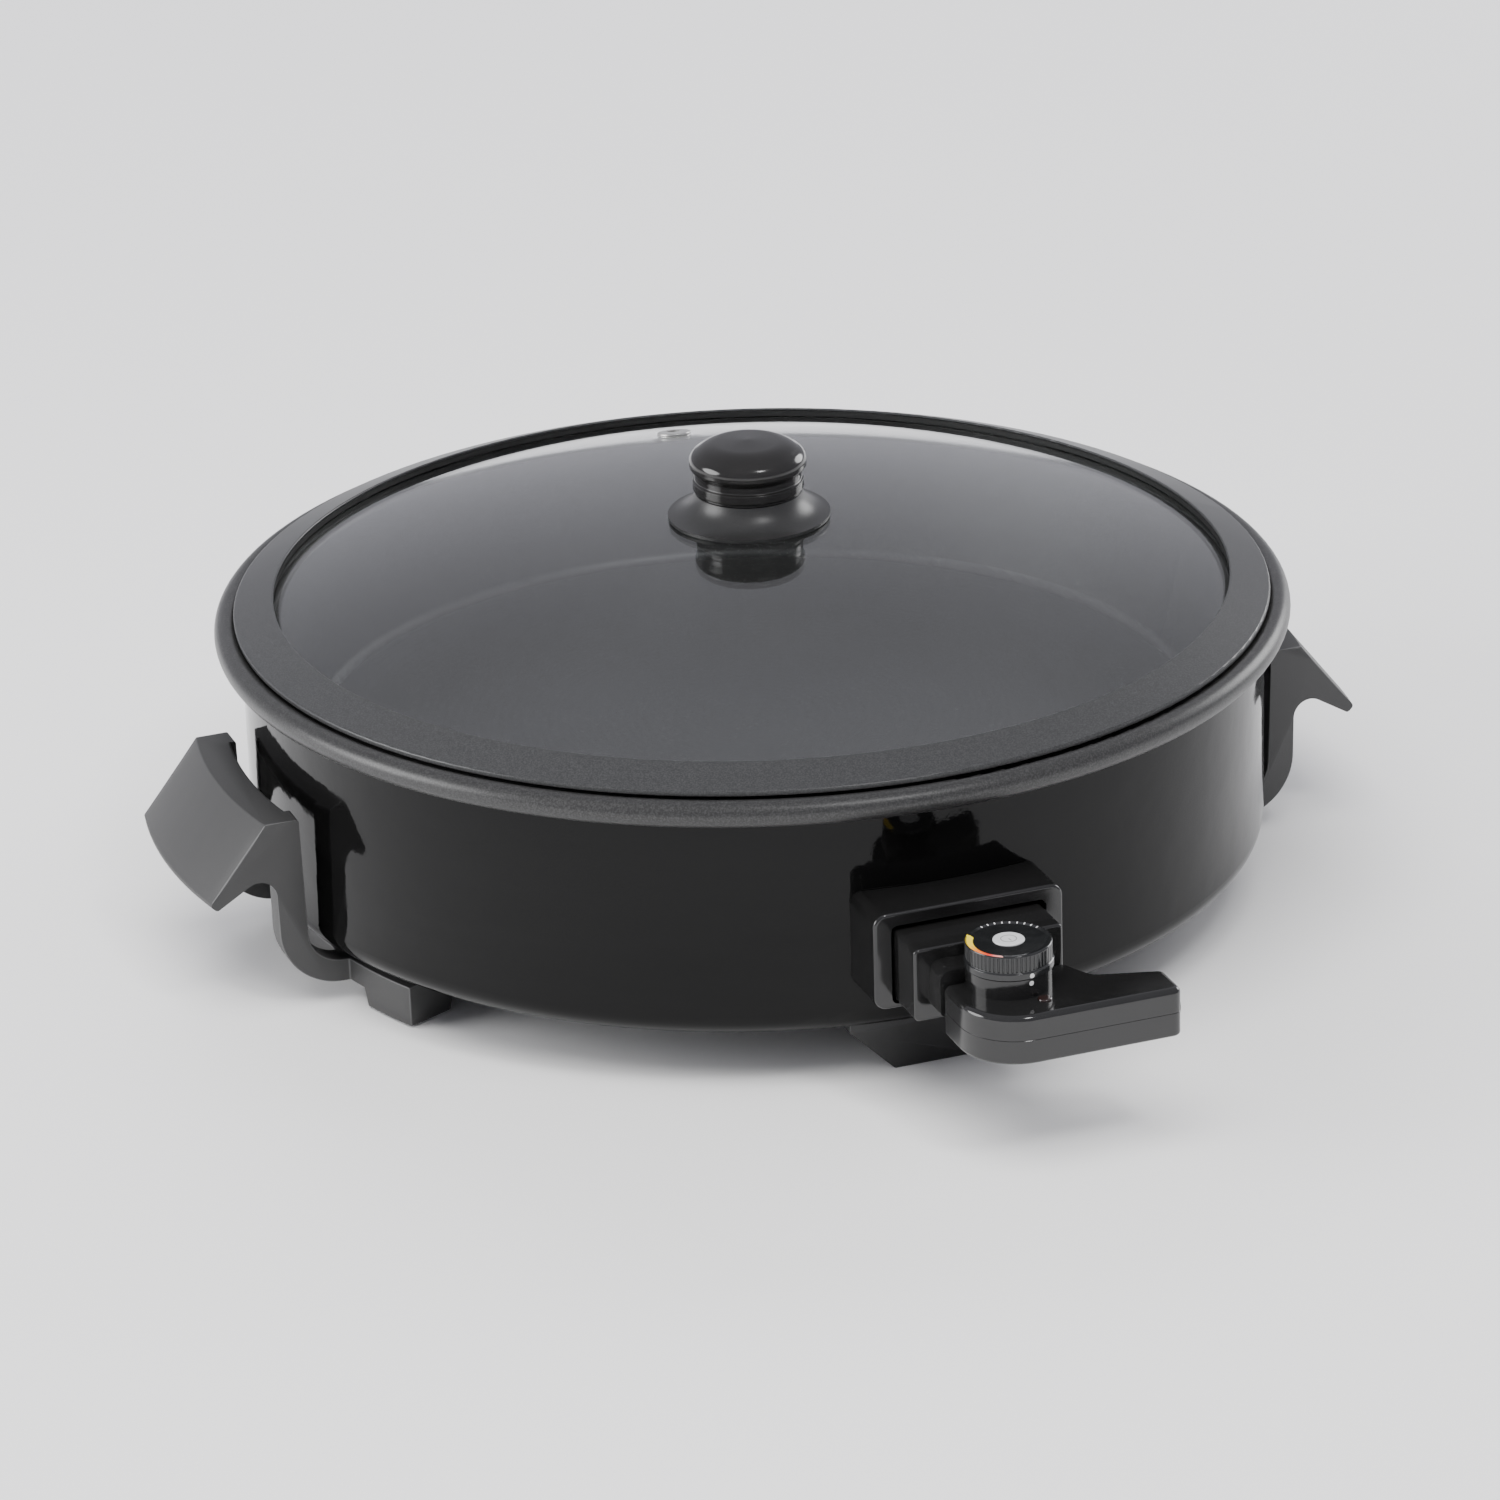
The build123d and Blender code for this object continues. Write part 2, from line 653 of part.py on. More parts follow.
# Steam vent: a rolled eyelet standing square to the glass.
glass_slope = vent_radius / glass_dome_radius
vent_height = dome_centre + sqrt(glass_dome_radius**2 - vent_radius**2)
vent_normal = (
    vent_spot[0] / glass_dome_radius,
    vent_spot[1] / glass_dome_radius,
    sqrt(1 - glass_slope**2),
)
eyelet_flange, eyelet_roll, eyelet_tube, eyelet_bore = 6.8, 6.2, 3.9, 2.6
eyelet_sheet, eyelet_low, eyelet_length = 0.8, vent_height - 5.4, 6.0
with BuildPart() as vent_eyelet:
    with BuildSketch(Plane((*vent_spot, vent_height + 0.1), z_dir=vent_normal)):
        Circle(eyelet_flange)
    extrude(amount=eyelet_sheet)
    with BuildSketch(Plane((*vent_spot, eyelet_low), z_dir=vent_normal)):
        Circle(eyelet_tube)
    extrude(amount=eyelet_length)
    with BuildSketch(Plane((*vent_spot, eyelet_low), z_dir=vent_normal)):
        Circle(eyelet_roll)
    extrude(amount=eyelet_sheet)
    fillet(vent_eyelet.edges().filter_by(GeomType.CIRCLE).sort_by(Axis.Z)[-1], 0.5)
    with BuildSketch(Plane((*vent_spot, eyelet_low - 1), z_dir=vent_normal)):
        Circle(eyelet_bore)
    extrude(amount=eyelet_length + 3, mode=Mode.SUBTRACT)
finish(vent_eyelet, "vent_eyelet")

# Knob: a flared skirt over the glass, and a head on a short ringed neck.
with BuildPart() as knob_skirt:
    with BuildSketch(Plane.XZ):
        with BuildLine():
            Polyline(
                (knob_neck_radius, knob_split),
                (knob_bore, knob_split),
                (knob_bore, knob_seat),
                (insert_radius + 0.5, knob_seat),
                (insert_radius + 0.5, knob_seat - 1.5),
                (knob_web, knob_seat - 1.5),
                (knob_skirt_radius - 1.5, knob_skirt_low),
                (knob_skirt_radius, knob_skirt_low),
                (knob_skirt_radius, knob_skirt_low + 1.2),
            )
            ThreePointArc(
                (knob_skirt_radius, knob_skirt_low + 1.2),
                (knob_flare_radius, knob_skirt_low + 4.0),
                (knob_neck_radius, knob_split),
            )
        make_face()
    revolve(axis=Axis.Z)
finish(knob_skirt, "knob_skirt")

insert_top, pillar_radius = 164.0, 8.0
with BuildPart() as knob_body:
    with BuildSketch(Plane.XZ):
        outline(
            (knob_neck_radius, knob_split, 0.5),
            (knob_neck_radius, knob_ring_low, 0.3),
            (knob_ring_radius, knob_ring_low + 0.5, 0.3),
            (knob_ring_radius, knob_ring_high - 0.5, 0.3),
            (knob_neck_radius, knob_ring_high, 0.5),
            (knob_neck_radius, knob_head_low - 2.2, 0.8),
            (knob_head_radius, knob_head_low, 1.2),
            (knob_head_radius, knob_head_high, 5),
            (knob_shoulder_radius, knob_top - 1.0, 13),
            (0, knob_top, 0),
            (0, insert_top + 1, 0),
            (insert_radius + fit, insert_top + 1, 0),
            (insert_radius + fit, knob_seat, 0),
            (pillar_radius, knob_seat, 0.5),
            (pillar_radius, insert_top + 4, 2),
            (knob_bore - 0.5, insert_top + 4, 2),
            (knob_bore - 0.5, knob_split, 0),
        )
    revolve(axis=Axis.Z)
finish(knob_body, "knob_body")

with BuildPart() as knob_insert:
    with BuildSketch(Plane.XY.offset(knob_seat + 0.2)):
        Circle(insert_radius)
        Circle(m5_radius + thread_fit, mode=Mode.SUBTRACT)
    extrude(amount=insert_top - knob_seat - 0.2)
finish(knob_insert, "knob_insert")

with BuildPart() as knob_gasket:
    with BuildSketch(Plane.XY.offset(glass_top)):
        Circle(gasket_radius)
        Circle(gasket_hole, mode=Mode.SUBTRACT)
    extrude(amount=gasket_sheet)
finish(knob_gasket, "knob_gasket")

under_glass = glass_top - glass_thickness - 0.11   # just below the dome at the washer's edge
with BuildPart() as knob_under_gasket:
    with BuildSketch(Plane.XY.offset(under_glass)):
        Circle(washer_radius + 1)
        Circle(gasket_hole, mode=Mode.SUBTRACT)
    extrude(amount=-gasket_sheet)
finish(knob_under_gasket, "knob_under_gasket")

with BuildPart() as knob_washer:
    with BuildSketch(Plane.XY.offset(under_glass - gasket_sheet)):
        Circle(washer_radius)
        Circle(washer_hole, mode=Mode.SUBTRACT)
    extrude(amount=-washer_sheet)
finish(knob_washer, "knob_washer")

with BuildPart() as knob_screw:
    screw_seat = under_glass - gasket_sheet - washer_sheet
    with BuildSketch(Plane.XY.offset(screw_seat)):
        Circle(screw_head)
    extrude(amount=-screw_head_height)
    fillet(knob_screw.faces().sort_by(Axis.Z)[0].edges(), 1.2)
    with BuildSketch(Plane.XY.offset(screw_seat)):
        Circle(m5_radius)
    extrude(amount=insert_top - 2 - screw_seat)
    with BuildSketch(Plane.XY.offset(screw_seat - screw_head_height)):
        Rectangle(screw_cross_length, screw_cross_width)
        Rectangle(screw_cross_width, screw_cross_length)
    extrude(amount=screw_head_height / 2, mode=Mode.SUBTRACT)
finish(knob_screw, "knob_screw")

# --------------------------------------------------------------------------- thermostat


def case_outline():
    """Plan of the L-shaped case: a rounded left corner, and an arm to the right."""
    outline(
        (case_left, -neck_front + 4, 3),
        (case_left, -case_front, 21),
        (case_right, -case_front, 3.5),
        (case_right, -arm_back, 3),
        (arm_start, -shoulder_back, 6),
        (case_shoulder, -neck_front + 4, 3),
    )


def inner_outline(wall):
    """The plan of the case moved in by its wall, as a private sketch."""
    with BuildSketch(mode=Mode.PRIVATE) as plan:
        case_outline()
        offset(amount=-wall)
    return plan.sketch


# Lower case: a tray with two screw pillars.
with BuildPart() as control_lower_case:
    with BuildSketch(Plane.XY.offset(case_low)):
        case_outline()
    extrude(amount=case_split - case_low)
    fillet(control_lower_case.faces().sort_by(Axis.Z)[0].edges(), 1.2)
    chamfer(control_lower_case.faces().sort_by(Axis.Z)[-1].edges(), parting_chamfer)
    with BuildSketch(Plane.XY.offset(case_low + case_wall)):
        add(inner_outline(case_wall))
    extrude(amount=case_split, mode=Mode.SUBTRACT)
    with BuildSketch(Plane.XY.offset(case_low + case_wall)):
        with Locations(*case_screw_spots):
            Circle(case_pillar)
    extrude(amount=case_split - case_low - case_wall)
    with BuildSketch(Plane.XY.offset(case_low)):
        with Locations(*case_screw_spots):
            Circle(case_screw_head + 0.1)
    extrude(amount=2, mode=Mode.SUBTRACT)
    with BuildSketch(Plane.XY.offset(case_low)):
        with Locations(*case_screw_spots):
            Circle(m3_hole)
    extrude(amount=case_split, mode=Mode.SUBTRACT)
    with BuildSketch(Plane.YZ.offset(case_right - 4)):
        with Locations((gland_y, case_split)):
            Circle(gland_groove)
    extrude(amount=10, mode=Mode.SUBTRACT)
finish(control_lower_case, "control_lower_case")

# Upper case: the cover, the neck to the plug, and the boss that the dial turns on.
with BuildPart() as control_upper_case:
    with BuildSketch(Plane.XY.offset(case_split)):
        case_outline()
    extrude(amount=case_high - case_split)
    fillet(control_upper_case.faces().sort_by(Axis.Z)[-1].edges(), 2.2)
    chamfer(control_upper_case.faces().sort_by(Axis.Z)[0].edges(), parting_chamfer)
    with BuildSketch(wall_plane(plug_front)):
        outline(
            (-neck_half, neck_low, 2),
            (neck_half, neck_low, 2),
            (neck_half, neck_high, 4),
            (-neck_half, neck_high, 4),
        )
    extrude(amount=neck_front - plug_front - 4.3)
    with BuildSketch(Plane.XY.offset(case_high - 6)):
        with Locations((0, dial_y)):
            Circle(boss_radius)
    extrude(amount=dial_low - lid_gap - case_high + 6)
    with BuildSketch(Plane.XY.offset(case_split - 1)):
        add(inner_outline(case_wall))
    extrude(amount=case_high - case_wall - case_split + 1, mode=Mode.SUBTRACT)
    with BuildSketch(wall_plane(plug_front + case_wall)):
        with Locations((0, 56)):
            Rectangle(2 * (neck_half - case_wall), 9)
    extrude(amount=14, mode=Mode.SUBTRACT)
    with BuildSketch(Plane.XY.offset(case_split)):
        with Locations(*case_screw_spots):
            Circle(cover_pillar)
    extrude(amount=case_high - case_wall - case_split)
    with BuildSketch(Plane.XY.offset(case_split)):
        with Locations(*case_screw_spots):
            Circle(case_screw_radius + fit)
    extrude(amount=6, mode=Mode.SUBTRACT)
    with BuildSketch(Plane.XY.offset(case_split)):
        with Locations((0, dial_y)):
            Circle(spindle_radius + fit)
        with Locations(lamp_spot):
            Circle(lens_radius + 0.1)
    extrude(amount=30, mode=Mode.SUBTRACT)
    with BuildSketch(Plane.YZ.offset(case_right - 4)):
        with Locations((gland_y, case_split)):
            Circle(gland_groove)
    extrude(amount=10, mode=Mode.SUBTRACT)
finish(control_upper_case, "control_upper_case")

# Plug block: it fills the bezel and carries the probe and the two contact sleeves.
with BuildPart() as plug_block:
    with BuildSketch(wall_plane(plug_back)):
        with Locations((0, (plug_low + plug_high) / 2)):
            RectangleRounded(plug_width, plug_high - plug_low, 2)
    extrude(amount=plug_front - plug_back)
    fillet(plug_block.faces().sort_by(Axis.Y)[0].edges(), 1.0)
    with BuildSketch(wall_plane(plug_back)):
        with Locations((-terminal_x, element_height), (terminal_x, element_height)):
            Circle(sleeve_radius + fit)
    extrude(amount=21, mode=Mode.SUBTRACT)
    with BuildSketch(wall_plane(plug_back)):
        with Locations((0, earth_low + earth_sheet / 2)):
            Rectangle(2 * earth_half + 2, 3)
    extrude(amount=9, mode=Mode.SUBTRACT)
finish(plug_block, "plug_block")

for side, x in (("left", -terminal_x), ("right", terminal_x)):
    with BuildPart() as contact_sleeve:
        with BuildSketch(wall_plane(plug_back + 0.5)):
            with Locations((x, element_height)):
                Circle(sleeve_radius)
                Circle(pin_radius + 0.2, mode=Mode.SUBTRACT)
        extrude(amount=18)
    finish(contact_sleeve, f"contact_sleeve_{side}")

with BuildPart() as probe_rod:
    with BuildSketch(wall_plane(probe_tip)):
        with Locations((0, probe_height)):
            Circle(probe_radius)
    extrude(amount=plug_back - probe_tip)
    fillet(probe_rod.faces().sort_by(Axis.Y)[-1].edges(), 2.6)
finish(probe_rod, "probe_rod")

with BuildPart() as probe_collar:
    with BuildSketch(wall_plane(plug_back)):
        with Locations((0, probe_height)):
            Circle(probe_radius + 2.3)
            Circle(probe_radius + fit, mode=Mode.SUBTRACT)
    extrude(amount=-collar_length)
finish(probe_collar, "probe_collar")

with BuildPart() as pilot_lens:
    with BuildSketch(Plane.XY.offset(case_high - case_wall - 1)):
        with Locations(lamp_spot):
            Circle(lens_radius)
    extrude(amount=case_wall + 1.7)
    fillet(pilot_lens.faces().sort_by(Axis.Z)[-1].edges(), 0.6)
finish(pilot_lens, "pilot_lens")

# Cord gland in the arm's end: a flanged rubber bush with the cord's bore.
with BuildPart() as cord_gland:
    gland_start, gland_step, gland_end = 40.0, 49.0, case_right + 0.6
    wall_inside = case_right - case_wall - 0.2
    for start, end, radius in ((gland_start, gland_step, 5.0),
                               (gland_step, wall_inside, gland_flange),
                               (wall_inside, gland_end, gland_groove - 0.1)):
        with BuildSketch(Plane.YZ.offset(start)):
            with Locations((gland_y, case_split)):
                Circle(radius)
        extrude(amount=end - start)
    with BuildSketch(Plane.YZ.offset(gland_start)):
        with Locations((gland_y, case_split)):
            Circle(gland_bore)
    extrude(amount=gland_end - gland_start, mode=Mode.SUBTRACT)
finish(cord_gland, "cord_gland")

for number, spot in enumerate(case_screw_spots, 1):
    with BuildPart() as case_screw:
        with BuildSketch(Plane.XY.offset(case_low + 0.3)):
            with Locations(spot):
                Circle(case_screw_head)
        extrude(amount=1.7)
        with BuildSketch(Plane.XY.offset(case_low + 2)):
            with Locations(spot):
                Circle(case_screw_radius)
        extrude(amount=case_screw_length)
        with BuildSketch(Plane.XY.offset(case_low + 0.3)):
            with Locations(spot):
                Rectangle(case_cross_length, case_cross_width)
                Rectangle(case_cross_width, case_cross_length)
        extrude(amount=0.9, mode=Mode.SUBTRACT)
    finish(case_screw, f"case_screw_{number}")

# --------------------------------------------------------------------------- dial

# Dial: a smooth lower ring, fine knurling above it, and a pocket for the cap.
with BuildPart() as dial_knob:
    dial_axis = Axis((0, dial_y, 0), (0, 0, 1))
    with BuildSketch(Plane((0, dial_y, 0), x_dir=(1, 0, 0), z_dir=(0, -1, 0))):
        outline(
            (spindle_bore, dial_low, 0),
            (dial_radius, dial_low, 0.3),
            (dial_radius, dial_ring_top, 0.3),
            (knurl_radius, dial_ring_top + 0.4, 0.2),
            (knurl_radius, dial_high, 0.7),
            (dial_radius - 2.6, dial_high - 0.5, 0.3),
            (cap_radius + fit, dial_high - 0.5, 0),
            (cap_radius + fit, cap_seat, 0),
            (0, cap_seat, 0),
            (0, spindle_top, 0),
            (spindle_bore, spindle_top, 0),
        )
    revolve(axis=dial_axis)
    with BuildSketch(Plane.XY.offset(dial_ring_top + 0.6)):
        with Locations((0, dial_y)):
            with PolarLocations(knurl_radius + fit, knurl_count):
                Circle(knurl_groove)
    extrude(amount=5.6, mode=Mode.SUBTRACT)
finish(dial_knob, "dial_knob")

with BuildPart() as dial_cap:
    with BuildSketch(Plane.XY.offset(cap_seat)):
        with Locations((0, dial_y)):
            Circle(cap_radius)
    extrude(amount=1.4)
    fillet(dial_cap.faces().sort_by(Axis.Z)[-1].edges(), 0.3)
finish(dial_cap, "dial_cap")

with BuildPart() as dial_spindle:
    with BuildSketch(Plane.XY.offset(spindle_low)):
        with Locations((0, dial_y)):
            Circle(spindle_radius)
    extrude(amount=spindle_top - spindle_low)
finish(dial_spindle, "dial_spindle")
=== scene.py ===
from math import cos, pi, radians, sin

import bmesh
import bpy
from mathutils import Matrix, Vector
from mathutils.bvhtree import BVHTree


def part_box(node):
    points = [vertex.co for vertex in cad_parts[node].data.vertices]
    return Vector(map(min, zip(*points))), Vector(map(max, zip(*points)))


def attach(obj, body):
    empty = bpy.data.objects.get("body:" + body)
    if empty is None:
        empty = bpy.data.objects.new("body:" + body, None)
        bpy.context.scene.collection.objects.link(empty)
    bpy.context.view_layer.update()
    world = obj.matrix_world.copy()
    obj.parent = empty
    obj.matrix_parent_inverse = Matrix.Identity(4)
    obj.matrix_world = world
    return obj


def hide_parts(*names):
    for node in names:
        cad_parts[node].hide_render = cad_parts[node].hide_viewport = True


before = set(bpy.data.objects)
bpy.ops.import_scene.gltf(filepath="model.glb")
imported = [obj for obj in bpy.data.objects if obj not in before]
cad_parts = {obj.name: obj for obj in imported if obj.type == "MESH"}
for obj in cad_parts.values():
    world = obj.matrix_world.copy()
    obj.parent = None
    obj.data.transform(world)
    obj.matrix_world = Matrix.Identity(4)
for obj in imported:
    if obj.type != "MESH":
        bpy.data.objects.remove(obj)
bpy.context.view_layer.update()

# ------------------------------------------------------------------ camera

# A long lens a little above the griddle, to the left of its thermostat.
camera_spot = Vector((-0.7853, -2.1576, 1.0292))
camera_turn, camera_height, camera_roll = radians(-19.939), radians(23.048), radians(1.7402)
lens_length, film_width, nearest, farthest = 154.617, 36.0, 0.05, 60.0
camera_data = bpy.data.cameras.new("camera")
camera_data.lens = lens_length
camera_data.sensor_width = film_width
camera_data.clip_start, camera_data.clip_end = nearest, farthest
camera = bpy.data.objects.new("camera", camera_data)
bpy.context.scene.collection.objects.link(camera)
away = Vector((sin(camera_turn) * cos(camera_height), -cos(camera_turn) * cos(camera_height),
               sin(camera_height)))
across = Vector((cos(camera_turn), sin(camera_turn), 0))
upward = away.cross(across)
tilted_across = across * cos(camera_roll) - upward * sin(camera_roll)
tilted_up = across * sin(camera_roll) + upward * cos(camera_roll)
camera.matrix_world = Matrix.Translation(camera_spot) @ Matrix(
    (tilted_across, tilted_up, away)).transposed().to_4x4()
bpy.context.scene.camera = camera

# ------------------------------------------------------------------ studio


class Socket:
    """One output in a material's nodes. Arithmetic on it adds Math nodes."""

    def __init__(self, tree, out):
        self.tree, self.out = tree, out

    def node(self, kind, settings=None, inputs=None, out=0):
        """Add a node: its settings come first, then a value or a link for each socket."""
        made = self.tree.nodes.new("ShaderNode" + kind)
        for key, value in (settings or {}).items():
            if key == "stops":
                stops = made.color_ramp.elements
                while len(stops) < len(value):
                    stops.new(1.0)
                for stop, (at, colour) in zip(stops, value):
                    stop.position, stop.color = at, colour
            else:
                setattr(made, key, value)
        for key, value in (inputs or {}).items():
            if isinstance(value, Socket):
                self.tree.links.new(value.out, made.inputs[key])
            else:
                made.inputs[key].default_value = value
        return Socket(self.tree, made.outputs[out])

    def maths(self, operation, *values):
        return self.node("Math", {"operation": operation}, dict(enumerate(values)))

    def __add__(self, other):
        return self.maths("ADD", self, other)

    def __sub__(self, other):
        return self.maths("SUBTRACT", self, other)

    def __mul__(self, other):
        return self.maths("MULTIPLY", self, other)

    __radd__ = __add__

    def noise(self, scale, detail=2.0, roughness=0.5):
        """Cloudy noise from 0 to 1 at this place."""
        return self.node("TexNoise", {}, {"Vector": self, "Scale": scale, "Detail": detail,
                                          "Roughness": roughness})

    def ease(self, low, high):
        """0 below low, 1 above high, and a smooth step between them."""
        return self.node("MapRange", {"interpolation_type": "SMOOTHSTEP"},
                         {"Value": self, "From Min": low, "From Max": high})

    def between(self, first, second):
        """A colour that goes from first to second as this number goes from 0 to 1."""
        return self.node("Mix", {"data_type": "RGBA"}, {0: self, 6: first, 7: second}, out=2)

    def bump(self, strength, depth):
        """A surface normal raised by this height."""
        return self.node("Bump", {}, {"Height": self, "Strength": strength, "Distance": depth})


def grey(value, warmth=0.0):
    """A grey as a colour, a little warmer above 0 and cooler below."""
    return (value * (1 + warmth), value, value * (1 - warmth), 1.0)


def new_finish(name):
    """A new material, and the place on the object as a Socket."""
    material = bpy.data.materials.new(name)
    material.use_nodes = True
    tree = material.node_tree
    return material, Socket(tree, tree.nodes.new("ShaderNodeTexCoord").outputs["Object"])


def apply_finish(material, values):
    """Give the material's shader a value or a link for each socket."""
    shader = material.node_tree.nodes["Principled BSDF"]
    for key, value in values.items():
        if isinstance(value, Socket):
            material.node_tree.links.new(value.out, shader.inputs[key])
        else:
            shader.inputs[key].default_value = value
    return material


# A wide sheet of matt white studio paper under the griddle.
floor_half = 14.0
paper_mesh = bmesh.new()
bmesh.ops.create_grid(paper_mesh, x_segments=1, y_segments=1, size=floor_half)
floor_data = bpy.data.meshes.new("studio_floor")
paper_mesh.to_mesh(floor_data)
studio_floor = bpy.data.objects.new("studio_floor", floor_data)
bpy.context.scene.collection.objects.link(studio_floor)
paper, place = new_finish("paper")
floor_data.materials.append(apply_finish(paper, {
    "Base Color": place.noise(3.0).between(grey(0.86), grey(0.88)),
    "Roughness": 0.85,
    "Specular IOR Level": 0.2,
}))

# Soft boxes: a large one above on the camera's side, a small bright one beside it, one on
# each side, and one behind. The ones above and behind light the paper but aren't mirrored.
soft_box_aim = Vector((0, 0, 0.1))
mirrored = ("soft_box_small", "soft_box_left", "soft_box_right")
for name, spot, size, power, colour in (
    ("soft_box_above", (-0.7, -0.9, 2.6), (2.4, 2.2), 92.0, (1.0, 0.99, 0.97)),
    ("soft_box_small", (0.35, -1.5, 2.2), (0.45, 0.45), 14.0, (1.0, 1.0, 1.0)),
    ("soft_box_left", (-2.5, 0.4, 0.9), (1.8, 1.5), 60.0, (1.0, 1.0, 1.0)),
    ("soft_box_right", (2.4, 0.9, 0.9), (1.4, 1.3), 34.0, (1.0, 1.0, 1.0)),
    ("soft_box_behind", (0.3, 3.2, 2.0), (3.2, 1.6), 70.0, (0.95, 0.95, 1.0)),
):
    lamp = bpy.data.lights.new(name, "AREA")
    lamp.shape = "ELLIPSE"
    lamp.size, lamp.size_y = size
    lamp.energy = power
    lamp.color = colour
    soft_box = bpy.data.objects.new(name, lamp)
    soft_box.location = spot
    soft_box.rotation_mode = "QUATERNION"
    soft_box.rotation_quaternion = (soft_box_aim - Vector(spot)).to_track_quat("-Z", "Y")
    soft_box.visible_glossy = name in mirrored
    soft_box.visible_transmission = False
    bpy.context.scene.collection.objects.link(soft_box)
# The air around the studio gives a faint cool light from all sides.
air_colour, air_strength = (0.88, 0.88, 0.96, 1.0), 0.62
world = bpy.data.worlds.new("studio_air")
bpy.context.scene.world = world
world.use_nodes = True
air = world.node_tree.nodes["Background"]
air.inputs["Color"].default_value, air.inputs["Strength"].default_value = air_colour, air_strength

# ------------------------------------------------------------------ pan


def dress(material, *nodes):
    """Give these CAD nodes this material."""
    for node in nodes:
        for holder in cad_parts[node].material_slots:
            holder.material = material


# The pan is one deep pressing with a rolled rim. Inside it has a black non-stick coat with
# fine flecks, and the rim outside the lid's step is a lighter satin charcoal.
pan_nonstick, place = new_finish("pan_nonstick")
from_axis = place.node("VectorMath", {"operation": "LENGTH"}, {
    0: place.node("VectorMath", {"operation": "MULTIPLY"}, {0: place, 1: (1, 1, 0)}),
}, out="Value")
step_circle, rim_circle = 0.190, 0.1925
on_rim = from_axis.ease(step_circle, rim_circle)
pale_flecks = (place.noise(1150.0, 1.0).ease(0.66, 0.72)
               + place.noise(560.0, 1.0).ease(0.71, 0.75) * 0.8)
fine_grain = place.noise(2600.0, 2.0)
clouds = place.noise(18.0, 4.0)
coat_colour = clouds.between(grey(0.0085), grey(0.0135, 0.03))
fleck_colour = (pale_flecks * 0.55).between(coat_colour, grey(0.11))
rim_colour = place.noise(1500.0, 2.0).ease(0.35, 0.75).between(grey(0.016), grey(0.042))
turning_rings = place.node("TexWave", {"wave_type": "RINGS", "rings_direction": "Z"},
                           {"Vector": place, "Scale": 85.0, "Distortion": 0.6, "Detail": 1.0})
dress(apply_finish(pan_nonstick, {
    "Base Color": on_rim.between(fleck_colour, rim_colour),
    "Roughness": 0.27 + clouds * 0.10 + turning_rings * 0.03 + on_rim * 0.02,
    "Specular IOR Level": 0.5,
    "Normal": (fine_grain + pale_flecks * 0.6).bump(0.22, 0.00012),
}), "pan_base", "pan_wall", "pan_rim")

# ------------------------------------------------------------------ shell

# The deep-drawn steel shell has a thick coat of black gloss enamel. Its surface rolls a
# little, as sprayed enamel does, and carries a trace of wiping marks.
shell_gloss, place = new_finish("shell_gloss")
wiping = place.node("Mapping", {}, {"Vector": place, "Scale": (1, 1, 6)}).noise(16.0, 5.0, 0.6)
dress(apply_finish(shell_gloss, {
    "Base Color": wiping.between(grey(0.0018), grey(0.0040)),
    "Roughness": 0.055 + wiping.ease(0.45, 0.8) * 0.09,
    "Specular IOR Level": 0.18,
    "Normal": (place.noise(70.0, 1.0) + place.noise(520.0, 1.0) * 0.12).bump(0.10, 0.0012),
}), "outer_shell")

# The stud and its nut draw the pan down on the shell. They, all the screws and the other
# small metal parts are zinc-plated steel, dulled in patches.
steel, place = new_finish("steel")
plating = place.noise(420.0, 4.0, 0.6)
dress(apply_finish(steel, {
    "Base Color": plating.between((0.50, 0.50, 0.49, 1), (0.68, 0.67, 0.64, 1)),
    "Metallic": 1.0,
    "Roughness": 0.24 + plating * 0.22,
    "Normal": place.noise(3000.0).bump(0.08, 0.00005),
}), "pan_stud", "base_nut", "knob_screw", "knob_washer", "vent_eyelet", "probe_collar",
    "dial_spindle",
    "bezel_screw_left", "bezel_screw_right", "case_screw_1", "case_screw_2",
    *[f"handle_screw_{number}" for number in range(1, 5)], "leg_screw_1", "leg_screw_2")

# ------------------------------------------------------------------ heating

# The tubular element's sheath is steel that the first heats have blued and browned.
element_steel, place = new_finish("element_steel")
heat_tint = place.node("ValToRGB", {"stops": [
    (0.30, (0.10, 0.085, 0.075, 1)), (0.48, (0.20, 0.13, 0.08, 1)),
    (0.62, (0.12, 0.11, 0.15, 1)), (0.80, (0.22, 0.21, 0.20, 1)),
]}, {"Fac": place.noise(38.0, 3.0)})
dress(apply_finish(element_steel, {
    "Base Color": heat_tint,
    "Metallic": 1.0,
    "Roughness": 0.34 + place.noise(300.0, 3.0) * 0.2,
    "Normal": place.noise(1800.0, 2.0).bump(0.12, 0.00006),
}), "heating_element")

# Clips, heat shield and socket plate are cut from brushed sheet steel.
sheet_steel, place = new_finish("sheet_steel")
brushing = place.node("Mapping", {}, {"Vector": place, "Scale": (0.03, 1, 1)}).noise(2400.0, 3.0)
dress(apply_finish(sheet_steel, {
    "Base Color": brushing.between((0.42, 0.42, 0.42, 1), (0.58, 0.58, 0.57, 1)),
    "Metallic": 1.0,
    "Roughness": 0.28 + brushing * 0.16,
    "Normal": brushing.bump(0.10, 0.00004),
}), "heat_shield", "element_clip_1", "element_clip_2", "element_clip_3", "socket_plate")

# The probe guide is a small sand casting in aluminium, fixed under the pan.
cast_aluminium, place = new_finish("cast_aluminium")
casting = place.noise(900.0, 4.0, 0.65)
dress(apply_finish(cast_aluminium, {
    "Base Color": casting.between((0.46, 0.46, 0.47, 1), (0.66, 0.66, 0.66, 1)),
    "Metallic": 1.0,
    "Roughness": 0.42 + casting * 0.16,
    "Normal": casting.bump(0.3, 0.00015),
}), "probe_guide")

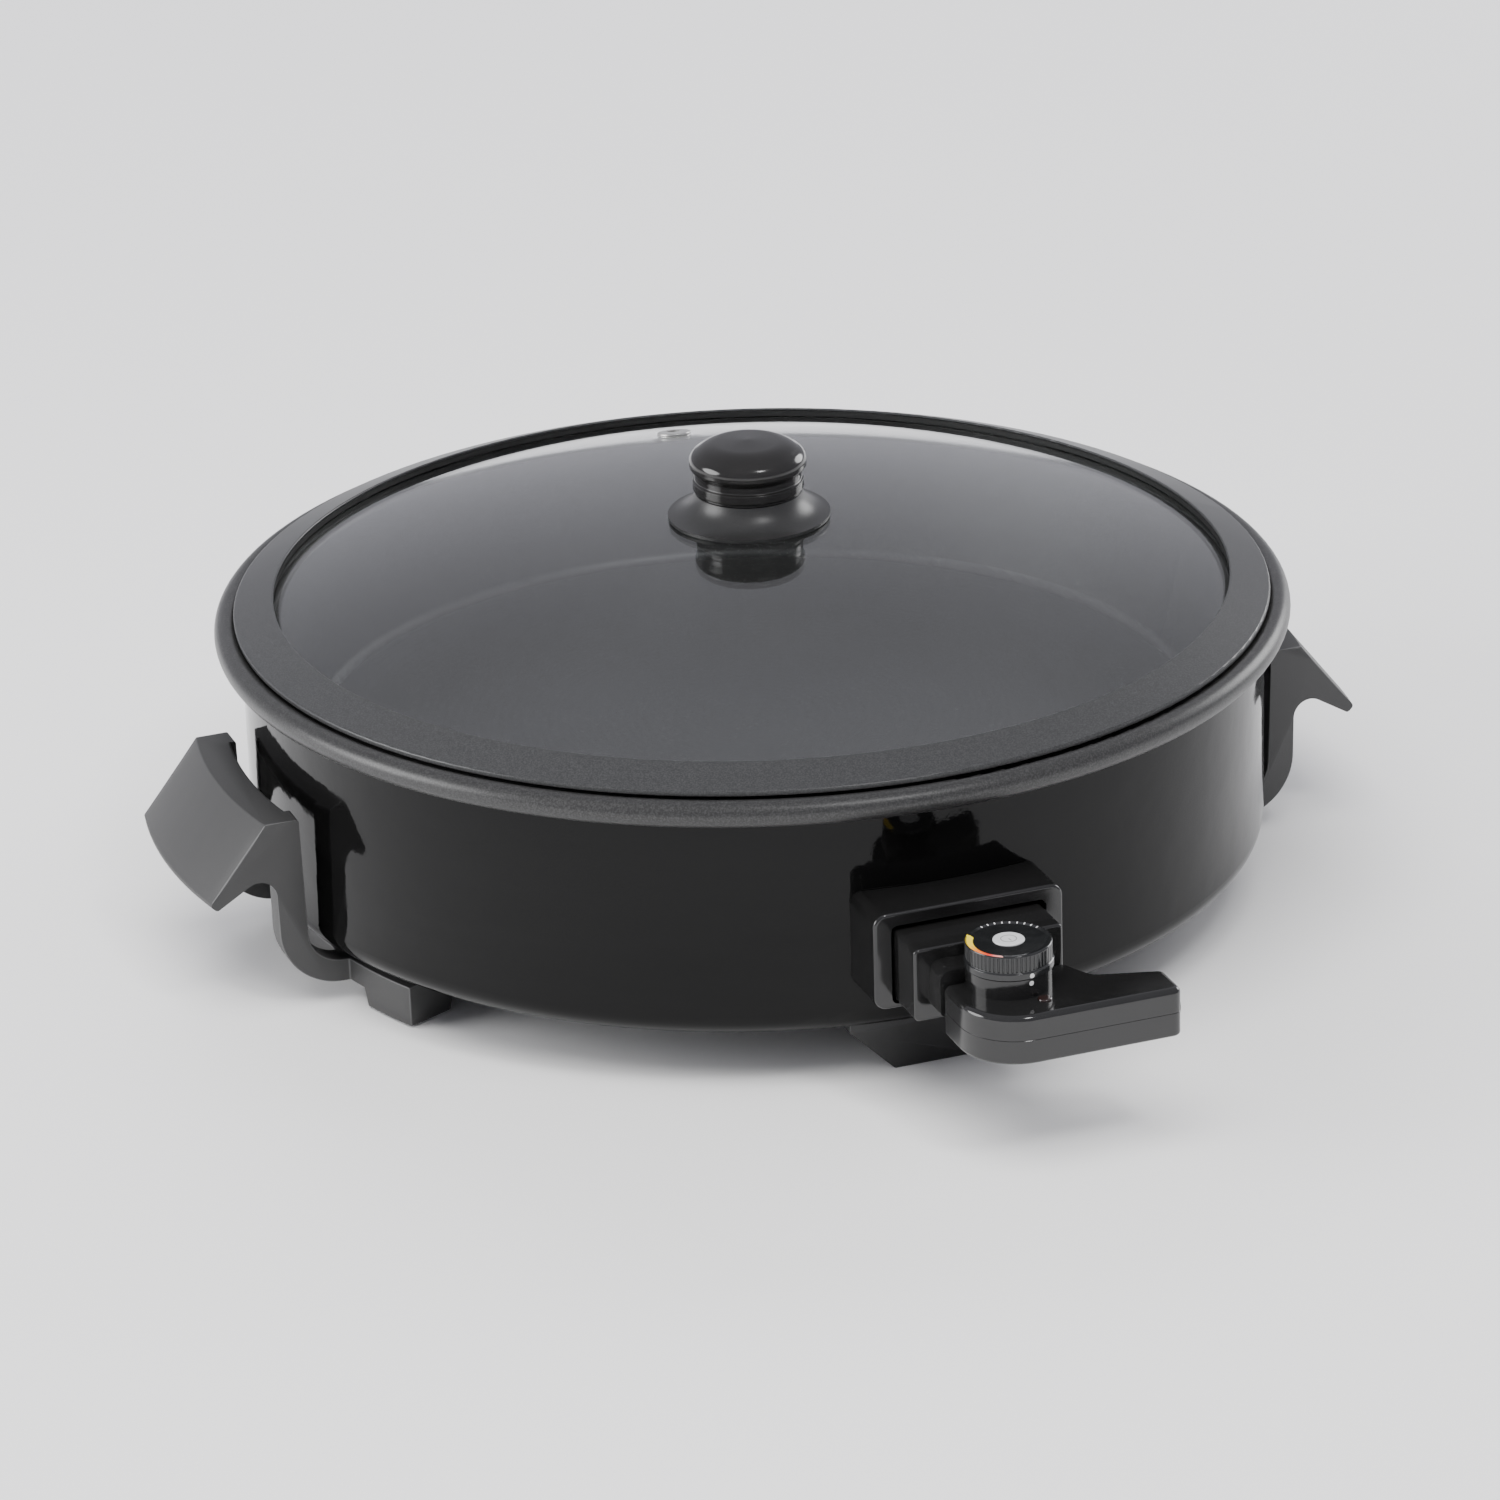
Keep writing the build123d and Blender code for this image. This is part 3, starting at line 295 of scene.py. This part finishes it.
# Ceramic bushes hold the two pins in the socket plate.
ceramic, place = new_finish("ceramic")
dress(apply_finish(ceramic, {
    "Base Color": place.noise(700.0, 3.0).between((0.66, 0.62, 0.55, 1), (0.76, 0.73, 0.67, 1)),
    "Roughness": 0.62,
    "Normal": place.noise(2200.0, 2.0).bump(0.15, 0.00008),
}), "terminal_insulator_left", "terminal_insulator_right")

# Pins, contact sleeves, probe and earth clip are bright plated, with faint sliding marks
# along the way that they are pushed in.
contact_chrome, place = new_finish("contact_chrome")
sliding = place.node("Mapping", {}, {"Vector": place, "Scale": (1, 0.04, 1)}).noise(2600.0, 3.0)
dress(apply_finish(contact_chrome, {
    "Base Color": sliding.between((0.68, 0.68, 0.70, 1), (0.82, 0.82, 0.83, 1)),
    "Metallic": 1.0,
    "Roughness": 0.09 + sliding * 0.14,
}), "terminal_pin_left", "terminal_pin_right", "contact_sleeve_left", "contact_sleeve_right",
    "probe_rod", "earth_clip")

# ------------------------------------------------------------------ handles and legs


def phenolic_finish(name, dark, light, shine):
    """Matt moulded phenolic with a fine spark-eroded grain."""
    material, place = new_finish(name)
    grain = place.noise(1500.0, 2.0, 0.6)
    resin = place.noise(30.0, 4.0)
    return apply_finish(material, {
        "Base Color": (resin * 0.6 + grain * 0.4).between(grey(dark), grey(light)),
        "Roughness": shine + grain * 0.10,
        "Specular IOR Level": 0.5,
        "Normal": grain.bump(0.35, 0.00012),
    })


def eased_copy(node, body, name, width, material, painted_highlight_material):
    """A CAD node's shape as one closed mesh, with its sharp edges eased by a small bevel.

    Corners that the bevel throws off the surface are brought back to it.
    """
    smooth_below, ease_above, shortest = radians(48), radians(62), 0.0012
    same_place, nearly_flat = 0.000004, radians(0.4)
    made = bmesh.new()
    made.from_mesh(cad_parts[node].data)
    bmesh.ops.remove_doubles(made, verts=made.verts, dist=same_place)
    bmesh.ops.dissolve_limit(made, angle_limit=nearly_flat, verts=made.verts,
                             edges=made.edges, use_dissolve_boundaries=False)
    surface = BVHTree.FromBMesh(made)
    sharp = [edge for edge in made.edges
             if edge.calc_face_angle(0.0) > ease_above and edge.calc_length() > shortest]
    # The bevel's faces take the second material, a lighter finish that paints a highlight along
    # the eased edges.
    bmesh.ops.bevel(made, geom=sharp, offset=width, segments=3, affect="EDGES", profile=0.5,
                    clamp_overlap=False, material=1)
    for corner in made.verts:
        near = surface.find_nearest(corner.co)[0]
        if (corner.co - near).length > width / 2:
            corner.co = near
    data = bpy.data.meshes.new(name)
    made.to_mesh(data)
    made.free()
    data.shade_smooth()
    data.set_sharp_from_angle(angle=smooth_below)
    data.materials.append(material)
    data.materials.append(painted_highlight_material)
    piece = bpy.data.objects.new(name, data)
    bpy.context.scene.collection.objects.link(piece)
    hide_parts(node)
    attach(piece, body)
    return piece


# Each handle is one phenolic moulding: a sloping grip on two posts, which turn in under
# the shell to a base with two feet. Its eased edges are lighter: a painted highlight.
phenolic = phenolic_finish("phenolic", 0.028, 0.040, 0.44)
phenolic_painted_highlight = phenolic_finish("phenolic_painted_highlight", 0.070, 0.095, 0.36)
handle_ease = 0.00045
for side in ("left", "right"):
    grip = eased_copy(f"handle_{side}", "base", f"moulded_handle_{side}", handle_ease, phenolic,
                      phenolic_painted_highlight)

# The front and rear legs are mouldings in the same resin, flared to the shell's floor.
for end in ("front", "rear"):
    # Their eased edges carry the same lighter painted highlight.
    leg = eased_copy(f"leg_{end}", "base", f"moulded_leg_{end}", handle_ease, phenolic,
                     phenolic_painted_highlight)

# The lid's seal and the knob's gaskets are black silicone.
silicone, place = new_finish("silicone")
dress(apply_finish(silicone, {
    "Base Color": place.noise(500.0, 3.0).between(grey(0.008), grey(0.014)),
    "Roughness": 0.55 + place.noise(240.0, 2.0) * 0.12,
    "Normal": place.noise(1600.0, 2.0).bump(0.10, 0.00008),
}), "lid_seal", "knob_gasket", "knob_under_gasket")

# ------------------------------------------------------------------ lid

# The lid's rim is a rolled band of steel under a charcoal satin coat, which shows the
# same fine fleck as the pan's rim.
rim_charcoal, place = new_finish("rim_charcoal")
band_fleck = place.noise(1700.0, 2.0)
dress(apply_finish(rim_charcoal, {
    "Base Color": band_fleck.ease(0.35, 0.75).between(grey(0.022, -0.02), grey(0.048, -0.02)),
    "Roughness": 0.25 + band_fleck * 0.12 + place.noise(25.0, 3.0) * 0.06,
    "Specular IOR Level": 0.55,
    "Normal": (band_fleck + place.noise(150.0, 2.0) * 0.5).bump(0.16, 0.0001),
}), "lid_rim")

# The dome is clear tempered soda glass, with the faint roll of tempering. Lamps shine
# straight through it to the pan.
lid_glass, place = new_finish("lid_glass")
apply_finish(lid_glass, {
    "Base Color": (0.975, 0.988, 0.985, 1),
    "Transmission Weight": 1.0,
    "IOR": 1.48,
    "Roughness": 0.0,
    "Normal": place.noise(9.0, 1.0).bump(0.03, 0.004),
})
tree = lid_glass.node_tree
glass_shader = Socket(tree, tree.nodes["Principled BSDF"].outputs[0])
lamp_ray = place.node("LightPath", out="Is Shadow Ray")
clear_way = place.node("BsdfTransparent", {}, {"Color": (0.93, 0.95, 0.945, 1)})
both = place.node("MixShader", {}, {0: lamp_ray, 1: glass_shader, 2: clear_way})
tree.links.new(both.out, tree.nodes["Material Output"].inputs["Surface"])
dress(lid_glass, "lid_glass")

# ------------------------------------------------------------------ knob

# The knob's head is polished phenolic, with a satin skirt moulded apart.
knob_gloss, place = new_finish("knob_gloss")
handling = place.noise(60.0, 4.0, 0.6)
dress(apply_finish(knob_gloss, {
    "Base Color": handling.between(grey(0.006, 0.06), grey(0.011, 0.06)),
    "Roughness": 0.13 + handling.ease(0.4, 0.8) * 0.12,
    "Specular IOR Level": 0.55,
    "Normal": place.noise(240.0, 2.0).bump(0.06, 0.0003),
}), "knob_body")

knob_satin, place = new_finish("knob_satin")
skirt_grain = place.noise(1400.0, 2.0)
dress(apply_finish(knob_satin, {
    "Base Color": skirt_grain.between(grey(0.012), grey(0.022)),
    "Roughness": 0.30 + skirt_grain * 0.12,
    "Normal": skirt_grain.bump(0.2, 0.0001),
}), "knob_skirt")

# The brass insert in the knob takes the screw that clamps the glass.
brass, place = new_finish("brass")
dress(apply_finish(brass, {
    "Base Color": place.noise(500.0, 3.0).between((0.56, 0.40, 0.16, 1), (0.70, 0.52, 0.24, 1)),
    "Metallic": 1.0,
    "Roughness": 0.26 + place.noise(900.0, 3.0) * 0.15,
}), "knob_insert")

# ------------------------------------------------------------------ socket bezel


def gloss_finish(name, dark, light, shine):
    """Black glossy moulding compound, with the faint roll of a polished mould."""
    material, place = new_finish(name)
    flow = place.noise(45.0, 4.0, 0.6)
    return apply_finish(material, {
        "Base Color": flow.between(grey(dark), grey(light)),
        "Roughness": shine + flow.ease(0.4, 0.85) * 0.10,
        "Specular IOR Level": 0.6,
        "Normal": (place.noise(160.0, 1.0) + place.noise(1500.0, 1.0) * 0.05).bump(0.07, 0.0005),
    })


# The bezel frames the socket, and is screwed to the shell from inside.
bezel_gloss = gloss_finish("bezel_gloss", 0.006, 0.011, 0.13)
# The bevel's lighter finish is a painted highlight along the bezel's eased edges.
bezel_painted_highlight = gloss_finish("bezel_painted_highlight", 0.020, 0.030, 0.10)
bezel_ease = 0.0006
bezel = eased_copy("socket_bezel", "base", "moulded_bezel", bezel_ease, bezel_gloss, bezel_painted_highlight)

# ------------------------------------------------------------------ thermostat

# The thermostat's case is two glossy mouldings screwed together, and the plug block is
# a third, which carries the probe and the contacts.
control_gloss = gloss_finish("control_gloss", 0.007, 0.013, 0.10)
dress(control_gloss, "control_lower_case", "control_upper_case")
# The bevel's lighter finish is a painted highlight along the plug block's eased edges.
control_painted_highlight = gloss_finish("control_painted_highlight", 0.020, 0.030, 0.09)
plug_ease = 0.0005
plug = eased_copy("plug_block", "control", "moulded_plug", plug_ease, control_gloss,
                  control_painted_highlight)

# The pilot lamp's smoked lens stands a little proud of the case, and is dark.
lamp_lens, place = new_finish("lamp_lens")
dress(apply_finish(lamp_lens, {
    "Base Color": place.noise(900.0, 2.0).between((0.012, 0.006, 0.005, 1),
                                                  (0.020, 0.008, 0.006, 1)),
    "Roughness": 0.10,
    "Coat Weight": 1.0,
    "Coat Roughness": 0.03,
}), "pilot_lens")

# The gland in the arm is soft black rubber, with an open bore for a cord. The pads under
# the four feet are the same rubber.
gland_rubber, place = new_finish("gland_rubber")
dress(apply_finish(gland_rubber, {
    "Base Color": place.noise(600.0, 3.0).between(grey(0.010), grey(0.018)),
    "Roughness": 0.62 + place.noise(300.0) * 0.12,
    "Normal": place.noise(1500.0, 2.0).bump(0.15, 0.0001),
}), "cord_gland", *[f"foot_pad_{number}" for number in range(1, 5)])

# ------------------------------------------------------------------ dial

# The dial is a glossy knurled moulding. Skin oil leaves its grip a little duller.
dial_gloss, place = new_finish("dial_gloss")
touch = place.noise(220.0, 3.0)
dress(apply_finish(dial_gloss, {
    "Base Color": touch.between(grey(0.008, -0.05), grey(0.015, -0.05)),
    "Roughness": 0.10 + touch.ease(0.4, 0.8) * 0.12,
    "Specular IOR Level": 0.6,
    "Normal": place.noise(400.0).bump(0.05, 0.0002),
}), "dial_knob")

# A satin white cap covers the spindle's fixing.
dial_white, place = new_finish("dial_white")
cap_grain = place.noise(1300.0, 2.0)
dress(apply_finish(dial_white, {
    "Base Color": cap_grain.between(grey(0.66, -0.01), grey(0.76, -0.01)),
    "Metallic": 0.25,
    "Roughness": 0.28 + cap_grain * 0.1,
    "Normal": cap_grain.bump(0.08, 0.00005),
}), "dial_cap")


def printed_piece(name, made, material, body):
    """Turn a thin sheet of faces into a printed mark with the thickness of its ink."""
    ink_thickness, same_place = 0.00005, 0.000002
    bmesh.ops.remove_doubles(made, verts=made.verts, dist=same_place)
    bmesh.ops.recalc_face_normals(made, faces=made.faces)
    bmesh.ops.solidify(made, geom=made.faces[:], thickness=ink_thickness)
    data = bpy.data.meshes.new(name)
    made.to_mesh(data)
    made.free()
    data.materials.append(material)
    piece = bpy.data.objects.new(name, data)
    bpy.context.scene.collection.objects.link(piece)
    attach(piece, body)


# A heat scale is printed on the dial's rim: a tapered band that runs round from yellow
# through orange and red to a pale end. It follows the rim's slope and rounded top.
mm = 0.001
dial_low, dial_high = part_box("dial_knob")
dial_axis = ((dial_low + dial_high) / 2).xy.to_3d()
rim_round, rim_round_radius, rim_slope = 0.7 * mm, 14.8 * mm, 0.238
slope_start, slope_end = 13.4 * mm, 14.64 * mm
dial_face = dial_high.z - 0.314 * mm
ink_lift = 0.03 * mm


def dial_height(radius):
    """Height of the dial's top at a radius, with the ink's lift."""
    if radius > slope_end:
        fall = rim_round - (rim_round**2 - (radius - rim_round_radius) ** 2) ** 0.5
        return dial_high.z - fall + ink_lift
    return dial_face + max(0.0, radius - slope_start) * rim_slope + ink_lift


scale_start, scale_sweep, scale_steps, scale_strips = radians(142), radians(98), 56, 6
scale_outer, scale_widest, scale_narrowest = 15.25 * mm, 3.0 * mm, 0.9 * mm
strip = scale_widest / scale_strips
start_way = Vector((cos(scale_start), sin(scale_start), 0))
band = bmesh.new()
profile = [band.verts.new(dial_axis + start_way * (scale_outer - strip * number))
           for number in range(scale_strips + 1)]
edges = [band.edges.new(pair) for pair in zip(profile, profile[1:])]
bmesh.ops.spin(band, geom=profile + edges, cent=dial_axis, axis=(0, 0, 1),
               angle=scale_sweep, steps=scale_steps)
for corner in band.verts:
    way = corner.co.xy - dial_axis.xy
    share = min(1.0, abs(way.angle_signed(start_way.xy, 0.0)) / scale_sweep)
    blunt_start = min(1.0, 0.1 + (share / 0.10) ** 0.5)
    blunt_end = min(1.0, 0.1 + ((1 - share) / 0.05) ** 0.5)
    width = scale_narrowest + (scale_widest - scale_narrowest) * (1 - share)
    width *= blunt_start * blunt_end
    radius = scale_outer - width * (scale_outer - way.length) / scale_widest
    corner.co.xy = dial_axis.xy + way.normalized() * radius
    corner.co.z = dial_height(radius)
heat_print, place = new_finish("heat_print")
from_dial = place.node("VectorMath", {"operation": "SUBTRACT"}, {0: place, 1: dial_axis})
across_dial = from_dial.node("SeparateXYZ", {}, {"Vector": from_dial}, out="X")
along_dial = from_dial.node("SeparateXYZ", {}, {"Vector": from_dial}, out="Y")
around = place.maths("ARCTAN2", along_dial, across_dial)
scale_share = (place.maths("FLOORED_MODULO", around, 2 * pi) - scale_start) * (1 / scale_sweep)
apply_finish(heat_print, {
    "Base Color": place.node("ValToRGB", {"stops": [
        (0.0, (0.90, 0.72, 0.03, 1)), (0.38, (0.92, 0.62, 0.03, 1)),
        (0.58, (0.85, 0.20, 0.02, 1)), (0.80, (0.72, 0.03, 0.02, 1)),
        (1.0, (0.86, 0.42, 0.36, 1)),
    ]}, {"Fac": scale_share}),
    "Roughness": 0.30 + place.noise(900.0) * 0.12,
})
printed_piece("heat_scale", band, heat_print, "dial")

# White ink marks: ticks round the far side of the dial's rim, and two index dots, one on
# the dial's lower ring and one below it on the case.
white_ink, place = new_finish("white_ink")
apply_finish(white_ink, {
    "Base Color": place.noise(1800.0, 3.0).between(grey(0.62), grey(0.80)),
    "Roughness": 0.36 + place.noise(900.0) * 0.14,
})
tick_width, tick_inner, tick_outer = 0.45 * mm, 13.6 * mm, 14.55 * mm
tick_count, first_tick, tick_step = 9, radians(22), radians(11)
tick_middle = (tick_inner + tick_outer) / 2
ticks = bmesh.new()
for number in range(tick_count):
    tick = bmesh.ops.create_grid(ticks, x_segments=1, y_segments=1, size=0.5)["verts"]
    bmesh.ops.transform(ticks, verts=tick, matrix=(
        Matrix.Translation(dial_axis)
        @ Matrix.Rotation(first_tick + tick_step * number, 4, "Z")
        @ Matrix.Translation((tick_middle, 0, dial_height(tick_middle)))
        @ Matrix.Rotation(-rim_slope, 4, "Y")
        @ Matrix.Diagonal((tick_outer - tick_inner, tick_width, 1, 1))))
printed_piece("dial_ticks", ticks, white_ink, "dial")

index_turn, dot_radius = radians(-82), 0.9 * mm
for name, body, radius, height in (
    ("dial_index_dot", "dial", 16.0 * mm, dial_low.z + 1.25 * mm),
    ("case_index_dot", "control", 15.5 * mm, dial_low.z - 1.8 * mm),
):
    dot = bmesh.new()
    bmesh.ops.create_circle(dot, cap_ends=True, segments=24, radius=dot_radius)
    bmesh.ops.transform(dot, verts=dot.verts, matrix=(
        Matrix.Translation(dial_axis + Vector((0, 0, height)))
        @ Matrix.Rotation(index_turn, 4, "Z") @ Matrix.Translation((radius + ink_lift, 0, 0))
        @ Matrix.Rotation(radians(90), 4, "Y")))
    printed_piece(name, dot, white_ink, body)

# The cap carries a grey mark: a ring with a pointer inside it.
cap_top = Vector((0, 0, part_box("dial_cap")[1].z + ink_lift))
mark_ink, place = new_finish("mark_ink")
apply_finish(mark_ink, {
    "Base Color": place.noise(1500.0, 2.0).between(grey(0.20), grey(0.30)),
    "Roughness": 0.40 + place.noise(900.0) * 0.10,
})
mark_radius, mark_line, pointer_length = 2.8 * mm, 0.4 * mm, 2.0 * mm
mark = bmesh.new()
mark_middle = dial_axis + cap_top
ring_ends = [mark.verts.new(mark_middle + Vector((mark_radius + side * mark_line / 2, 0, 0)))
             for side in (-1, 1)]
ring_edge = mark.edges.new(ring_ends)
bmesh.ops.spin(mark, geom=[*ring_ends, ring_edge], cent=dial_axis, axis=(0, 0, 1),
               angle=2 * pi, steps=40, use_merge=True)
pointer = bmesh.ops.create_grid(mark, x_segments=1, y_segments=1, size=0.5)["verts"]
bmesh.ops.transform(mark, verts=pointer, matrix=(
    Matrix.Translation(mark_middle) @ Matrix.Rotation(index_turn, 4, "Z")
    @ Matrix.Translation((pointer_length / 2, 0, 0))
    @ Matrix.Diagonal((pointer_length, mark_line, 1, 1))))
printed_piece("cap_mark", mark, mark_ink, "dial")
